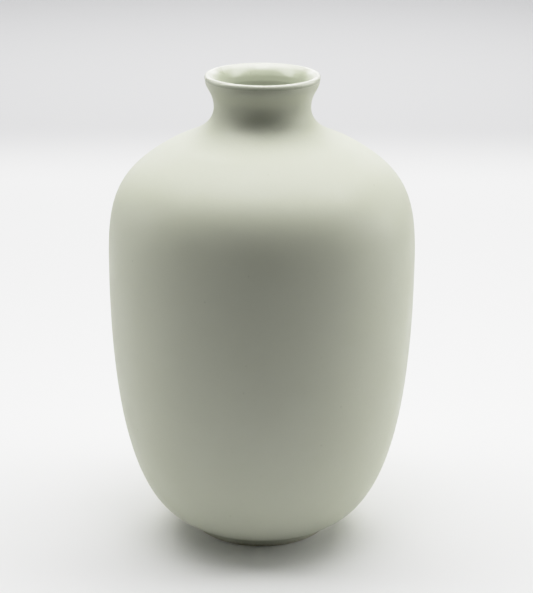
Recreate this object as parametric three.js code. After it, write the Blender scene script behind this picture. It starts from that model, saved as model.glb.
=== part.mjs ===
// Sake bottle (tokkuri) that holds about two go, 360 ml, of sake.
//
// The bottle is round about +Z and stands on z = 0. Its wall is one line of curves from the foot to
// the lip, and the same line moved inward makes the inside of the clay and the face of the glaze.
// Neighbouring pieces share the points where they meet, so they touch all round without overlapping.
// All sizes are in millimetres.

import * as THREE from 'three';

// Driving dimensions
const HEIGHT = 126;
const BELLY_RADIUS = 40.8;
const BELLY_HEIGHT = 76;
const SHOULDER_RADIUS = 24.4;
const SHOULDER_HEIGHT = 107.5;
const NECK_RADIUS = 12.75;
const NECK_HEIGHT = 117.4;
const LIP_RADIUS = 15;

const FOOT_RADIUS = 18.2;
const FOOT_TOP_RADIUS = 18.8;
const FOOT_HEIGHT = 2.3;
const FOOT_WIDTH = 3.8;
const FOOT_BEVEL = 0.4;

const FLOOR_THICKNESS = 3.4;
const LIP_CLAY = 1;
const LIP_ROLL = 0.25;
const GLAZE = 0.25;
const GLAZE_AT_EDGE = 0.1;
const GLAZE_HANGS = 0.4;

// Facets
const SEGMENTS = 48;
const BELLY_STEPS = 10;
const SHOULDER_STEPS = 7;
const COLLAR_STEPS = 6;
const MOUTH_STEPS = 4;
const LIP_STEPS = 4;
const BEAD_STEPS = 2;
const FLOOR_STEPS = 3;

const { degToRad, lerp } = THREE.MathUtils;

// The outside of the wall passes through these knots. Heading is the way the line runs there, in
// degrees up from straight outward. Before and after are how far its handles reach along that way.
// Wall is the thickness of clay and glaze together. The outside ends at the lip, and the inside
// flares out to the mouth, whose knot is the centre of the round that joins the two.
const LIP_ROUND = LIP_CLAY / 2;
const LIP_HEIGHT = HEIGHT - LIP_ROUND - (GLAZE + GLAZE_AT_EDGE) / 2;
const foot = {
	radius: FOOT_TOP_RADIUS, height: FOOT_HEIGHT, heading: 18, after: 7.8, wall: 4.6,
};
const belly = {
	radius: BELLY_RADIUS, height: BELLY_HEIGHT, heading: 90, before: 65, after: 17.1, wall: 3,
};
const shoulder = {
	radius: SHOULDER_RADIUS, height: SHOULDER_HEIGHT, heading: 151, before: 16.4, after: 3.9, wall: 2.7,
};
const neck = {
	radius: NECK_RADIUS, height: NECK_HEIGHT, heading: 90, before: 6.1, after: 3.8, wall: 2.3,
};
const lip = {
	radius: LIP_RADIUS, height: LIP_HEIGHT - LIP_ROLL - GLAZE_HANGS, heading: 90, before: 2.2,
};
const mouth = {
	radius: LIP_RADIUS - LIP_ROUND, height: LIP_HEIGHT, heading: 38, before: 3.2, wall: LIP_ROUND + GLAZE,
};

const OUTSIDE = () => 0;
const CLAY_INSIDE = (knot) => knot.wall - GLAZE;
const GLAZE_FACE = (knot) => knot.wall;

/** A knot's point on the line that lies depth inward of the outside. */
function knotPoint(knot, depth) {

	const heading = degToRad(knot.heading);
	return new THREE.Vector2(
		knot.radius - depth * Math.sin(heading),
		knot.height + depth * Math.cos(heading),
	);

}

/** The point at the given reach along a knot's heading. */
function handle(knot, point, reach) {

	const heading = degToRad(knot.heading);
	return new THREE.Vector2(Math.cos(heading), Math.sin(heading)).multiplyScalar(reach).add(point);

}

/** Points from one knot to the next, on the line that lies depthAt(knot) inward of the outside. */
function span(from, to, steps, depthAt) {

	const start = knotPoint(from, depthAt(from));
	const end = knotPoint(to, depthAt(to));
	return new THREE.CubicBezierCurve(
		start,
		handle(from, start, from.after),
		handle(to, end, -to.before),
		end,
	).getPoints(steps);

}

/** The wall of the body: up the belly and over the shoulder. */
function bodyWall(depthAt) {

	return [
		...span(foot, belly, BELLY_STEPS, depthAt),
		...span(belly, shoulder, SHOULDER_STEPS, depthAt).slice(1),
	];

}

/** The wall of the neck: up out of the shoulder and out to the lip or the mouth. */
function neckWall(depthAt, end = mouth) {

	return [
		...span(shoulder, neck, COLLAR_STEPS, depthAt),
		...span(neck, end, MOUTH_STEPS, depthAt).slice(1),
	];

}

/** The floor inside, from the axis out to the foot of the wall, which it meets without a corner. */
function floor(depthAt) {

	const end = knotPoint(foot, depthAt(foot));
	const level = FOOT_HEIGHT + FLOOR_THICKNESS - (foot.wall - depthAt(foot));
	const bend = handle(foot, end, -(end.y - level) / Math.sin(degToRad(foot.heading)));
	return new THREE.QuadraticBezierCurve(
		new THREE.Vector2(0, level),
		bend,
		end,
	).getPoints(FLOOR_STEPS);

}

/**
 * The round of the lip, from its outer side to the flare of the mouth, under a coat that may be
 * uneven. Its outer quarter rolls down past the centre of the round.
 */
function lipRound(coatOutside, coatInside) {

	const turn = degToRad(90 + mouth.heading);
	const points = [];

	for (let step = 0; step <= LIP_STEPS; step ++) {

		const share = step / LIP_STEPS;
		const angle = turn * share;
		const reach = LIP_ROUND + lerp(coatOutside, coatInside, share);
		const rolled = angle < Math.PI / 2 ? LIP_ROLL * (1 - Math.sin(angle)) : 0;
		points.push(new THREE.Vector2(
			mouth.radius + reach * Math.cos(angle),
			mouth.height + reach * Math.sin(angle) - rolled,
		));

	}

	return points;

}

/** The edge of the glaze outside the lip, from where it ends on the clay up to the round. */
function glazeBead() {

	const points = [];

	for (let step = 0; step <= BEAD_STEPS; step ++) {

		const angle = Math.PI / 2 * step / BEAD_STEPS;
		points.push(new THREE.Vector2(
			lip.radius + GLAZE_AT_EDGE * Math.sin(angle),
			LIP_HEIGHT - LIP_ROLL - GLAZE_HANGS * Math.cos(angle),
		));

	}

	return points;

}

/** A closed body turned about +Z from a profile of (radius, height) points. */
function turned(name, profile, material) {

	const geometry = new THREE.LatheGeometry(profile, SEGMENTS).rotateX(Math.PI / 2);
	const mesh = new THREE.Mesh(geometry, material);
	mesh.name = name;
	return mesh;

}

const matteStoneware = new THREE.MeshStandardMaterial({
	color: 0xb4b7a5, roughness: 0.75, metalness: 0,
});
const bareStoneware = new THREE.MeshStandardMaterial({
	color: 0xa9a896, roughness: 0.9, metalness: 0,
});
const clearGlaze = new THREE.MeshStandardMaterial({
	color: 0xc3c7b1, roughness: 0.12, metalness: 0,
});

/** The ring that the bottle stands on, turned under the floor, with bevelled edges. */
function makeFootRing() {

	const inner = FOOT_RADIUS - FOOT_WIDTH;
	const profile = [
		new THREE.Vector2(inner + FOOT_BEVEL, 0),
		new THREE.Vector2(FOOT_RADIUS - FOOT_BEVEL, 0),
		new THREE.Vector2(FOOT_RADIUS, FOOT_BEVEL),
		new THREE.Vector2(FOOT_TOP_RADIUS, FOOT_HEIGHT),
		new THREE.Vector2(inner, FOOT_HEIGHT),
		new THREE.Vector2(inner, FOOT_BEVEL),
		new THREE.Vector2(inner + FOOT_BEVEL, 0),
	];
	return turned('foot_ring', profile, bareStoneware);

}

/** The thrown body: floor, belly and shoulder, open where the neck stands. */
function makeBody() {

	const profile = [
		new THREE.Vector2(0, FOOT_HEIGHT),
		...bodyWall(OUTSIDE),
		...bodyWall(CLAY_INSIDE).reverse(),
		...floor(CLAY_INSIDE).reverse().slice(1),
	];
	return turned('body', profile, matteStoneware);

}

/** The collared neck, which narrows, flares and ends in a thin round lip. */
function makeNeck() {

	const profile = [
		...neckWall(OUTSIDE, lip),
		...lipRound(0, 0).slice(0, -1),
		...neckWall(CLAY_INSIDE).reverse(),
	];
	profile.push(profile[0].clone());
	return turned('neck', profile, matteStoneware);

}

/** The glassy lining: over the floor, up the inside and over the lip to its outer edge. */
function makeInnerGlaze() {

	const profile = [
		...floor(CLAY_INSIDE),
		...bodyWall(CLAY_INSIDE).slice(1),
		...neckWall(CLAY_INSIDE).slice(1),
		...lipRound(0, 0).reverse().slice(1),
		...glazeBead(),
		...lipRound(GLAZE_AT_EDGE, GLAZE).slice(1),
		...neckWall(GLAZE_FACE).reverse().slice(1),
		...bodyWall(GLAZE_FACE).reverse().slice(1),
		...floor(GLAZE_FACE).reverse().slice(1),
	];
	return turned('inner_glaze', profile, clearGlaze);

}

const bottle = new THREE.Group();
bottle.name = 'sake_bottle';
bottle.add(makeFootRing(), makeBody(), makeNeck(), makeInnerGlaze());

export default bottle;
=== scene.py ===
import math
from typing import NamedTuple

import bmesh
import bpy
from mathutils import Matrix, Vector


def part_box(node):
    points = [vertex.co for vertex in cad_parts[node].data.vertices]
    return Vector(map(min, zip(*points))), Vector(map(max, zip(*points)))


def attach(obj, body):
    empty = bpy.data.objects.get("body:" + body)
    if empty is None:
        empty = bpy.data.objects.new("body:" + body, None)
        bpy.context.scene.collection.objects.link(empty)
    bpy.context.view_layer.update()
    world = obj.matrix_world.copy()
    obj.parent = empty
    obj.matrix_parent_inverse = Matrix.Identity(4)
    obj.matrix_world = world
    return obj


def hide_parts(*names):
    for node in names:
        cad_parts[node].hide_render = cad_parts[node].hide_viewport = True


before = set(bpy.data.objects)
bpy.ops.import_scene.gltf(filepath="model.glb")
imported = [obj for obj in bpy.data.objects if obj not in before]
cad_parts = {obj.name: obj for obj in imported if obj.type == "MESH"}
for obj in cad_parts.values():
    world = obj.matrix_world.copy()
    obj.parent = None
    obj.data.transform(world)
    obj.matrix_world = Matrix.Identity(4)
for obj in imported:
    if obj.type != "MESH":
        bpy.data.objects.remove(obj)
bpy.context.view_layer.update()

# A sake bottle: matte celadon stoneware outside, glossy glaze inside and over the lip.
#
# The bottle is turned about +Z. Its wall is one line of curves from the foot to the lip, with the same
# sizes as the CAD part. The same line moved inward makes the inside of the clay and the face of the
# glaze. All lengths are in metres.

MM = 0.001

# ---------------------------------------------------------------- sizes

_, foot_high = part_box("foot_ring")
_, body_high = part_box("body")

HEIGHT = 126 * MM
BELLY_RADIUS = body_high.x
FOOT_HEIGHT = foot_high.z
FOOT_TOP_RADIUS = foot_high.x
FOOT_RADIUS = 18.2 * MM
FOOT_WIDTH = 3.8 * MM
FOOT_INNER_RADIUS = FOOT_RADIUS - FOOT_WIDTH
FOOT_BEVEL = 0.4 * MM
FLOOR_THICKNESS = 3.4 * MM
LIP_RADIUS = 15 * MM
LIP_CLAY = 1 * MM
LIP_ROLL = 0.25 * MM
GLAZE = 0.25 * MM
GLAZE_AT_EDGE = 0.1 * MM
GLAZE_HANGS = 0.4 * MM


class Knot(NamedTuple):
    """A point on the outside of the wall. Heading is in degrees up from straight outward, before and
    after are the reach of its handles, and wall is the thickness of clay and glaze there. The mouth's
    knot is the centre of the round that joins the outside to the inside."""

    radius: float
    height: float
    heading: float
    before: float
    after: float
    wall: float


LIP_ROUND = LIP_CLAY / 2
LIP_HEIGHT = HEIGHT - LIP_ROUND - (GLAZE + GLAZE_AT_EDGE) / 2
FOOT = Knot(FOOT_TOP_RADIUS, FOOT_HEIGHT, 18, 0, 7.8 * MM, 4.6 * MM)
BELLY = Knot(BELLY_RADIUS, 76 * MM, 90, 65 * MM, 17.1 * MM, 3 * MM)
SHOULDER = Knot(24.4 * MM, 107.5 * MM, 151, 16.4 * MM, 3.9 * MM, 2.7 * MM)
NECK = Knot(12.75 * MM, 117.4 * MM, 90, 6.1 * MM, 3.8 * MM, 2.3 * MM)
LIP = Knot(LIP_RADIUS, LIP_HEIGHT - LIP_ROLL - GLAZE_HANGS, 90, 2.2 * MM, 0, 0)
MOUTH = Knot(LIP_RADIUS - LIP_ROUND, LIP_HEIGHT, 38, 3.2 * MM, 0, LIP_ROUND + GLAZE)


# ---------------------------------------------------------------- outlines

SEGMENTS = 192
SHARP_EDGE = 40
ON_AXIS = 1e-4 * MM


def knot_point(knot, depth):
    """A knot's (radius, height) on the line that lies depth inward of the outside."""
    heading = math.radians(knot.heading)
    return Vector((
        knot.radius - depth * math.sin(heading),
        knot.height + depth * math.cos(heading),
    ))


def along(knot, reach):
    """The step of that reach in a knot's heading."""
    heading = math.radians(knot.heading)
    return Vector((math.cos(heading), math.sin(heading))) * reach


def cubic(start, after, before, end, steps):
    """Points on a cubic curve, both ends included."""
    points = []
    for step in range(steps + 1):
        t = step / steps
        s = 1 - t
        points.append(s**3 * start + 3 * s * s * t * after + 3 * s * t * t * before + t**3 * end)
    return points


def span(first, last, steps, depth_at):
    """Points from one knot to the next, depth_at(knot) inward of the outside."""
    start = knot_point(first, depth_at(first))
    end = knot_point(last, depth_at(last))
    return cubic(start, start + along(first, first.after), end - along(last, last.before), end, steps)


def wall_line(depth_at, steps, end=MOUTH):
    """The whole wall from the foot to the mouth or the lip, with that many steps in each span."""
    knots = (FOOT, BELLY, SHOULDER, NECK, end)
    line = [knot_point(FOOT, depth_at(FOOT))]
    for first, last, count in zip(knots, knots[1:], steps):
        line += span(first, last, count, depth_at)[1:]
    return line


def turn(name, profile, closed=False):
    """A mesh turned about +Z from (radius, height) points; closed joins the last point to the first."""
    mesh = bpy.data.meshes.new(name)
    bm = bmesh.new()
    rings = []
    for radius, height in profile:
        if radius < ON_AXIS:
            rings.append([bm.verts.new((0, 0, height))])
            continue
        ring = []
        for segment in range(SEGMENTS):
            angle = 2 * math.pi * segment / SEGMENTS
            ring.append(bm.verts.new((radius * math.cos(angle), radius * math.sin(angle), height)))
        rings.append(ring)
    pairs = list(zip(rings, rings[1:]))
    if closed:
        pairs.append((rings[-1], rings[0]))
    for lower, upper in pairs:
        for segment in range(SEGMENTS):
            after = (segment + 1) % SEGMENTS
            if len(lower) == 1:
                bm.faces.new((lower[0], upper[after], upper[segment]))
            elif len(upper) == 1:
                bm.faces.new((lower[segment], lower[after], upper[0]))
            else:
                bm.faces.new((lower[segment], lower[after], upper[after], upper[segment]))
    bmesh.ops.recalc_face_normals(bm, faces=bm.faces)
    bm.to_mesh(mesh)
    bm.free()
    mesh.shade_smooth()
    mesh.set_sharp_from_angle(angle=math.radians(SHARP_EDGE))
    piece = bpy.data.objects.new(name, mesh)
    bpy.context.scene.collection.objects.link(piece)
    return piece


# ---------------------------------------------------------------- pieces

# How far each surface lies inward of the outside, at a knot.

def outside(knot):
    return 0


def clay_inside(knot):
    return knot.wall - GLAZE


def glaze_face(knot):
    return knot.wall


# Steps from foot to belly, belly to shoulder, shoulder to neck, and neck to the end of the wall.
OUTER_STEPS = (60, 32, 28, 20)
HIDDEN_STEPS = (40, 20, 16, 12)
INNER_STEPS = (96, 36, 48, 44)

LIP_STEPS = 16
BEAD_STEPS = 6
FLOOR_STEPS = 24
BASE_STEPS = 80
EDGE_STEPS = 6


class Rings(NamedTuple):
    """Rings that the potter's fingers leave between two heights (or radii), which fade at both ends."""

    low: float
    high: float
    pitch: float
    relief: float

    def at(self, place):
        """How far the rings stand out at that height or radius."""
        if not self.low < place < self.high:
            return 0
        fade = math.sin(math.pi * (place - self.low) / (self.high - self.low)) ** 0.5
        return self.relief * fade * (0.5 + 0.5 * math.sin(2 * math.pi * place / self.pitch))


BELLY_RINGS = Rings(low=8 * MM, high=104 * MM, pitch=4.6 * MM, relief=0.16 * MM)
NECK_RINGS = Rings(low=106 * MM, high=124 * MM, pitch=1.5 * MM, relief=0.06 * MM)
BASE_RINGS = Rings(low=0.6 * MM, high=14 * MM, pitch=1.3 * MM, relief=0.07 * MM)


def floor_line(depth_at):
    """The floor inside, from the axis out to the foot of the wall."""
    end = knot_point(FOOT, depth_at(FOOT))
    level = FOOT_HEIGHT + FLOOR_THICKNESS - (FOOT.wall - depth_at(FOOT))
    bend = end - along(FOOT, (end.y - level) / math.sin(math.radians(FOOT.heading)))
    start = Vector((0, level))
    points = []
    for step in range(FLOOR_STEPS + 1):
        t = step / FLOOR_STEPS
        points.append((1 - t) ** 2 * start + 2 * t * (1 - t) * bend + t * t * end)
    return points


def arc(centre_radius, centre_height, reach, first, last, steps):
    """Points on an arc from one angle to the other, both in degrees, both ends included."""
    points = []
    for step in range(steps + 1):
        angle = math.radians(first + (last - first) * step / steps)
        points.append(Vector((
            centre_radius + reach * math.cos(angle),
            centre_height + reach * math.sin(angle),
        )))
    return points


def lip_round(coat_outside, coat_inside):
    """The round of the lip, from its outer side to the flare of the mouth, under a coat that may be
    uneven. Its outer quarter rolls down past the centre of the round."""
    turn_through = math.radians(90 + MOUTH.heading)
    points = []
    for step in range(LIP_STEPS + 1):
        share = step / LIP_STEPS
        reach = LIP_ROUND + coat_outside + (coat_inside - coat_outside) * share
        angle = turn_through * share
        rolled = LIP_ROLL * (1 - math.sin(angle)) if angle < math.pi / 2 else 0
        points.append(Vector((
            MOUTH.radius + reach * math.cos(angle),
            MOUTH.height + reach * math.sin(angle) - rolled,
        )))
    return points


def glaze_bead():
    """The edge of the glaze outside the lip, from where it ends on the clay up to the round."""
    points = []
    for step in range(BEAD_STEPS + 1):
        angle = math.pi / 2 * step / BEAD_STEPS
        points.append(Vector((
            LIP.radius + GLAZE_AT_EDGE * math.sin(angle),
            LIP_HEIGHT - LIP_ROLL - GLAZE_HANGS * math.cos(angle),
        )))
    return points


def base_line():
    """The trimmed base inside the foot ring, from the axis outward; its rings are cut into the clay."""
    points = []
    for step in range(BASE_STEPS + 1):
        place = FOOT_INNER_RADIUS * step / BASE_STEPS
        points.append(Vector((place, FOOT_HEIGHT + BASE_RINGS.at(place))))
    return points


def make_stoneware():
    """Body and neck in one seamless wall: base, outside, lip, the hidden face of the clay, and floor."""
    profile = base_line()
    profile += wall_line(outside, OUTER_STEPS, LIP)
    profile += lip_round(0, 0)[:-1]
    profile += wall_line(clay_inside, HIDDEN_STEPS)[::-1]
    profile += floor_line(clay_inside)[::-1][1:]
    return turn("stoneware", profile)


def make_foot():
    """The ring under the base, with rounded edges where it stands."""
    profile = arc(FOOT_INNER_RADIUS + FOOT_BEVEL, FOOT_BEVEL, FOOT_BEVEL, 180, 270, EDGE_STEPS)
    profile += arc(FOOT_RADIUS - FOOT_BEVEL, FOOT_BEVEL, FOOT_BEVEL, 270, 360, EDGE_STEPS)
    profile += [Vector((FOOT_TOP_RADIUS, FOOT_HEIGHT)), Vector((FOOT_INNER_RADIUS, FOOT_HEIGHT))]
    return turn("foot", profile, closed=True)


def ringed(line):
    """The inside of the wall with the potter's rings standing in from it."""
    return [Vector((p.x - BELLY_RINGS.at(p.y) - NECK_RINGS.at(p.y), p.y)) for p in line]


def make_glaze():
    """The lining: its face on the clay up and over the lip, then its own face back down to the floor."""
    profile = floor_line(clay_inside)
    profile += wall_line(clay_inside, HIDDEN_STEPS)[1:]
    profile += lip_round(0, 0)[::-1][1:]
    profile += glaze_bead()
    profile += lip_round(GLAZE_AT_EDGE, GLAZE)[1:]
    profile += ringed(wall_line(glaze_face, INNER_STEPS))[::-1][1:]
    profile += floor_line(glaze_face)[::-1][1:]
    return turn("glaze_lining", profile)


# ---------------------------------------------------------------- materials

CELADON = (0.566, 0.585, 0.471)
CELADON_LIGHT = (0.574, 0.593, 0.481)
CELADON_DARK = (0.558, 0.577, 0.461)
SPECK = (0.36, 0.36, 0.27)
SMALL_SPECK_SHOWS = 0.28
LARGE_SPECK_SHOWS = 0.38
GLAZED_SPECK_SHOWS = 0.25
BARE_CLAY = (0.58, 0.575, 0.47)
BARE_CLAY_DARK = (0.47, 0.455, 0.35)
GLAZE_THIN = (0.66, 0.675, 0.565)
GLAZE_FULL = (0.47, 0.50, 0.382)
# Deep inside, the glaze is greener where it pools and much darker, which is painted shade inside the
# neck.
GLAZE_POOLED_AND_SHADED = (0.27, 0.295, 0.208)

# Heights at which the foot ring's glaze stops, and at which the inner glaze changes colour: darker
# below, as painted shade inside the neck, and pale where it thins over the lip.
BARE_BELOW = 0.5 * MM
GLAZED_ABOVE = 0.65 * MM
DEEP_BELOW = 112 * MM
FULL_ABOVE = 127 * MM
THINS_FROM = LIP_HEIGHT - 0.5 * MM
THIN_ABOVE = LIP_HEIGHT + 0.4 * MM


def new_material(name):
    """A material, its node tree and its shader."""
    material = bpy.data.materials.new(name)
    material.use_nodes = True
    tree = material.node_tree
    return material, tree, tree.nodes["Principled BSDF"]


def feed(tree, socket, value):
    """Give a socket a value, or join it to another node's output."""
    if isinstance(value, bpy.types.NodeSocket):
        tree.links.new(value, socket)
    elif isinstance(value, tuple) and len(value) == 3 and socket.type == "RGBA":
        socket.default_value = (*value, 1)
    else:
        socket.default_value = value


def add(tree, kind, inputs, **settings):
    """Add a node of that kind, with its settings and its inputs by name or number."""
    node = tree.nodes.new("ShaderNode" + kind)
    for setting, value in settings.items():
        setattr(node, setting, value)
    for socket, value in inputs.items():
        feed(tree, node.inputs[socket], value)
    return node


def object_place(tree):
    return add(tree, "TexCoord", {}).outputs["Object"]


def height_of(tree, place):
    return add(tree, "SeparateXYZ", {"Vector": place}).outputs["Z"]


def noise(tree, place, size, detail=2):
    """Noise from about 0 to 1, whose features are about that size."""
    return add(tree, "TexNoise", {"Vector": place, "Scale": 1 / size, "Detail": detail}).outputs[0]


def ramp(tree, value, low, high, first=0, last=1):
    """first below low and last above high, with a smooth change between them."""
    return add(tree, "MapRange", {
        "Value": value, "From Min": low, "From Max": high, "To Min": first, "To Max": last,
    }, interpolation_type="SMOOTHSTEP").outputs["Result"]


def maths(tree, operation, first, second):
    return add(tree, "Math", {0: first, 1: second}, operation=operation).outputs["Value"]


def mix(tree, share, first, second):
    """A colour between two colours."""
    return add(tree, "Mix", {0: share, 6: first, 7: second}, data_type="RGBA").outputs[2]


def bump(tree, shader, heights):
    """Bump from (height, depth in metres) pairs, one over the other."""
    normal = None
    for height, depth in heights:
        inputs = {"Height": height, "Distance": depth, "Strength": 1.0}
        if normal is not None:
            inputs["Normal"] = normal
        normal = add(tree, "Bump", inputs).outputs["Normal"]
    feed(tree, shader.inputs["Normal"], normal)


def specks(tree, place, spacing, radius, kept):
    """1 in round specks of iron in the clay, 0 elsewhere; kept is the share of places that have one."""
    cells = add(tree, "TexVoronoi", {"Vector": place, "Scale": 1 / spacing})
    size = radius / spacing
    spot = ramp(tree, cells.outputs["Distance"], size * 0.6, size * 1.3, 1, 0)
    chance = add(tree, "SeparateXYZ", {"Vector": cells.outputs["Color"]}).outputs["X"]
    chosen = maths(tree, "LESS_THAN", chance, kept)
    return maths(tree, "MULTIPLY", spot, chosen)


def celadon_colour(tree, place):
    """The matte glaze outside: soft clouds, a fine grain, and pinprick specks of two sizes."""
    clouds = ramp(tree, noise(tree, place, size=24 * MM, detail=3), low=0.3, high=0.7)
    colour = mix(tree, clouds, CELADON_DARK, CELADON_LIGHT)
    grain = ramp(tree, noise(tree, place, size=0.6 * MM, detail=4), low=0.25, high=0.75, last=0.3)
    colour = mix(tree, grain, colour, CELADON)
    small = specks(tree, place, spacing=1.9 * MM, radius=0.12 * MM, kept=0.5)
    large = specks(tree, place, spacing=4.7 * MM, radius=0.22 * MM, kept=0.4)
    colour = mix(tree, maths(tree, "MULTIPLY", small, SMALL_SPECK_SHOWS), colour, SPECK)
    return mix(tree, maths(tree, "MULTIPLY", large, LARGE_SPECK_SHOWS), colour, SPECK)


def matte_stoneware():
    """The outside: a matte glaze with soft swells and a fine grain."""
    material, tree, shader = new_material("matte_stoneware")
    place = object_place(tree)
    feed(tree, shader.inputs["Base Color"], celadon_colour(tree, place))
    patches = noise(tree, place, size=9 * MM, detail=4)
    satin = ramp(tree, patches, low=0.3, high=0.7, first=0.46, last=0.56)
    feed(tree, shader.inputs["Roughness"], satin)
    swells = noise(tree, place, size=6 * MM)
    grain = noise(tree, place, size=0.5 * MM, detail=4)
    bump(tree, shader, [(swells, 0.06 * MM), (grain, 0.018 * MM)])
    return material


def bare_stoneware():
    """The foot ring: matte glaze that stops in an uneven line just above the ground, bare clay below."""
    material, tree, shader = new_material("bare_stoneware")
    place = object_place(tree)
    grit = noise(tree, place, size=0.7 * MM, detail=5)
    clay = mix(tree, ramp(tree, grit, low=0.3, high=0.7), BARE_CLAY_DARK, BARE_CLAY)
    dots = specks(tree, place, spacing=1.3 * MM, radius=0.14 * MM, kept=0.5)
    clay = mix(tree, dots, clay, SPECK)
    wander = maths(tree, "MULTIPLY", noise(tree, place, size=5 * MM, detail=3), 0.5 * MM)
    line = maths(tree, "SUBTRACT", height_of(tree, place), wander)
    glazed = ramp(tree, line, BARE_BELOW, GLAZED_ABOVE)
    feed(tree, shader.inputs["Base Color"], mix(tree, glazed, clay, celadon_colour(tree, place)))
    rough = ramp(tree, line, BARE_BELOW, GLAZED_ABOVE, first=0.88, last=0.52)
    feed(tree, shader.inputs["Roughness"], rough)
    bump(tree, shader, [(grit, 0.05 * MM)])
    return material


def clear_glaze():
    """The glossy glaze inside: pale where it runs thin over the lip, greener where it pools deeper, and
    darker deeper down as painted shade inside the neck.
    """
    material, tree, shader = new_material("celadon_glaze")
    place = object_place(tree)
    height = height_of(tree, place)
    drift = maths(tree, "MULTIPLY", noise(tree, place, size=7 * MM, detail=3), 3 * MM)
    level = maths(tree, "ADD", height, drift)
    # Painted shade: the glaze darkens toward the bottom of the neck, as well as turning greener where it
    # pools.
    colour = mix(tree, ramp(tree, level, DEEP_BELOW, FULL_ABOVE), GLAZE_POOLED_AND_SHADED, GLAZE_FULL)
    colour = mix(tree, ramp(tree, height, THINS_FROM, THIN_ABOVE), colour, GLAZE_THIN)
    small = specks(tree, place, spacing=1.9 * MM, radius=0.12 * MM, kept=0.4)
    colour = mix(tree, maths(tree, "MULTIPLY", small, GLAZED_SPECK_SHOWS), colour, SPECK)
    feed(tree, shader.inputs["Base Color"], colour)
    patches = noise(tree, place, size=5 * MM, detail=3)
    rough = ramp(tree, patches, low=0.3, high=0.7, first=0.26, last=0.34)
    feed(tree, shader.inputs["Roughness"], rough)
    shader.inputs["Coat Weight"].default_value = 0.4
    shader.inputs["Coat Roughness"].default_value = 0.09
    bump(tree, shader, [(noise(tree, place, size=3.5 * MM), 0.05 * MM)])
    return material


stoneware = make_stoneware()
stoneware.data.materials.append(matte_stoneware())
foot = make_foot()
foot.data.materials.append(bare_stoneware())
glaze = make_glaze()
glaze.data.materials.append(clear_glaze())

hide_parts("body", "neck")
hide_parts("foot_ring")
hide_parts("inner_glaze")
for piece in (stoneware, foot, glaze):
    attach(piece, "root")

# ---------------------------------------------------------------- studio

PAPER_WIDE = 0.98
PAPER_LONG = 1.24
PAPER_CENTRE = 0.33
PAPER_WHITE = (0.95, 0.95, 0.95)
# The grey is painted shade for the paper far from the lamps.
PAPER_SHADE_GREY = (0.605, 0.605, 0.615)
PAPER_ROUGHNESS = 0.8
BACKDROP = (0.70, 0.70, 0.71)

# The paper turns from white to grey, a painted shade, between these two distances from the bottle,
# measured along the sides of a rounded square, which the last number makes squarer.
PAPER_TURNS = 0.355
PAPER_TURNED = 0.48
PAPER_SQUARENESS = 4


class Panel(NamedTuple):
    """A soft light: where it hangs, what it is aimed at, its width and depth, and its power in watts."""

    name: str
    place: tuple
    target: tuple
    width: float
    depth: float
    power: float


PANELS = (
    Panel("overhead_wide", (0, 0.05, 0.35), (0, 0.05, 0), 0.5, 0.25, 0.8),
    Panel("overhead_strip", (0, 0, 0.36), (0, 0, 0), 0.7, 0.12, 0.98),
    Panel("overhead_front", (0, -0.1, 0.55), (0, -0.1, 0), 0.12, 0.12, 0.29),
    Panel("overhead_back", (0, 0.6, 0.4), (0, 0.6, 0), 0.8, 0.4, 3.16),
    Panel("back", (0, 1.1, 0.35), (0, 0, 0.2), 1.8, 0.6, 3.2),
    Panel("left", (-0.5, 0.1, 0.17), (0, 0, 0.06), 0.4, 0.2, 0.51),
    Panel("right", (0.5, 0.1, 0.17), (0, 0, 0.06), 0.4, 0.2, 0.98),
)


def studio_paper():
    """White paper round the bottle that turns grey further out, the grey being painted shade where the
    lamps' light falls off.
    """
    material, tree, shader = new_material("studio_paper")
    shader.inputs["Roughness"].default_value = PAPER_ROUGHNESS
    axes = add(tree, "SeparateXYZ", {"Vector": object_place(tree)}).outputs
    across = maths(tree, "POWER", maths(tree, "ABSOLUTE", axes["X"], 0), PAPER_SQUARENESS)
    away = maths(tree, "POWER", maths(tree, "ABSOLUTE", axes["Y"], 0), PAPER_SQUARENESS)
    reach = maths(tree, "POWER", maths(tree, "ADD", across, away), 1 / PAPER_SQUARENESS)
    # Painted shade: the paper darkens to grey far from the bottle, where the lamps' light falls off.
    shade_share = ramp(tree, reach, PAPER_TURNS, PAPER_TURNED)
    feed(tree, shader.inputs["Base Color"], mix(tree, shade_share, PAPER_WHITE, PAPER_SHADE_GREY))
    return material


def make_floor():
    """An oval sheet, most of it behind the bottle."""
    floor = turn("studio_floor", [Vector((0, 0)), Vector((1, 0))])
    size = Matrix.Diagonal((PAPER_WIDE / 2, PAPER_LONG / 2, 1, 1))
    floor.data.transform(Matrix.Translation((0, PAPER_CENTRE, 0)) @ size)
    floor.data.materials.append(studio_paper())


def make_world():
    """No light of its own, and a pale backdrop where the camera looks past the paper."""
    world = bpy.data.worlds.new("studio_world")
    world.use_nodes = True
    tree = world.node_tree
    seen = add(tree, "LightPath", {}).outputs["Is Camera Ray"]
    feed(tree, tree.nodes["Background"].inputs["Color"], mix(tree, seen, (0, 0, 0), BACKDROP))
    bpy.context.scene.world = world


def make_panel(panel):
    light = bpy.data.lights.new(panel.name, "AREA")
    light.shape = "RECTANGLE"
    light.size = panel.width
    light.size_y = panel.depth
    light.energy = panel.power
    lamp = bpy.data.objects.new(panel.name, light)
    lamp.location = panel.place
    aim = Vector(panel.target) - Vector(panel.place)
    lamp.rotation_euler = aim.to_track_quat("-Z", "Y").to_euler()
    lamp.visible_camera = False
    bpy.context.scene.collection.objects.link(lamp)


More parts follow.
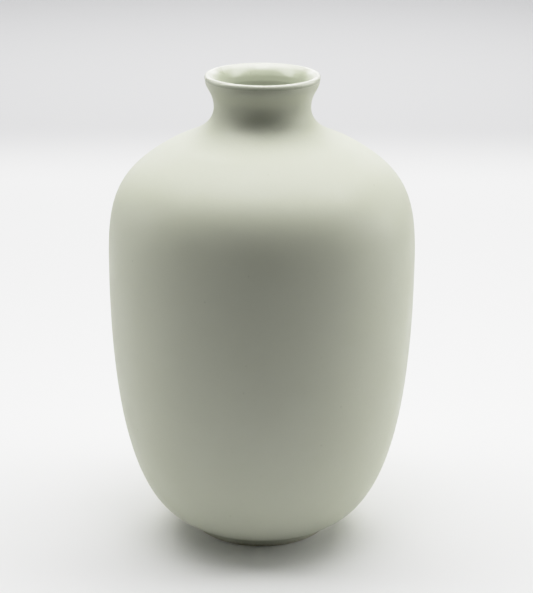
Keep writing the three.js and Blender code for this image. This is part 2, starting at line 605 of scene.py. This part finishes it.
# The sensor and the lens are in millimetres, the place in bottle heights, and the angles in degrees.
CAMERA_SENSOR = 36
CAMERA_LENS = 120.4
CAMERA_PLACE = Vector((0.0103, -4.0223, 1.8396))
CAMERA_LOOKS_DOWN = 18.19
CAMERA_ROLL = 0.27


def make_camera():
    camera_data = bpy.data.cameras.new("camera")
    camera_data.sensor_width = CAMERA_SENSOR
    camera_data.lens = CAMERA_LENS
    camera = bpy.data.objects.new("camera", camera_data)
    camera.location = CAMERA_PLACE * HEIGHT
    tilt = Matrix.Rotation(math.radians(90 - CAMERA_LOOKS_DOWN), 3, "X")
    roll = Matrix.Rotation(math.radians(CAMERA_ROLL), 3, "Z")
    camera.rotation_euler = (tilt @ roll).to_euler()
    bpy.context.scene.collection.objects.link(camera)
    bpy.context.scene.camera = camera


# Brightness: the curve is straight up to the first, ends at the second, and is drawn up to the third.
FILM_STRAIGHT = 0.5
FILM_WHITE = 1.0
FILM_RANGE = 2.5
FILM_POINTS = (0.25, 0.5, 0.7, 0.9, 1.2, 1.6)
ALL_COLOURS = 3


def film(brightness):
    """How bright a surface comes out: as it is up to a point, then closing in on white."""
    if brightness < FILM_STRAIGHT:
        return brightness
    room = FILM_WHITE - FILM_STRAIGHT
    return FILM_STRAIGHT + room * (1 - math.exp(-(brightness - FILM_STRAIGHT) / room))


def set_film():
    """One curve for red, green and blue alike."""
    settings = bpy.context.scene.view_settings
    settings.view_transform = "Standard"
    settings.use_curve_mapping = True
    mapping = settings.curve_mapping
    mapping.white_level = (FILM_RANGE, FILM_RANGE, FILM_RANGE)
    curve = mapping.curves[ALL_COLOURS]
    curve.points[0].location = (0, 0)
    curve.points[1].location = (1, film(FILM_RANGE))
    for brightness in FILM_POINTS:
        curve.points.new(brightness / FILM_RANGE, film(brightness))
    for point in curve.points:
        point.handle_type = "AUTO_CLAMPED"
    curve.points[0].handle_type = "VECTOR"
    mapping.update()


make_floor()
make_world()
for panel in PANELS:
    make_panel(panel)
make_camera()
set_film()
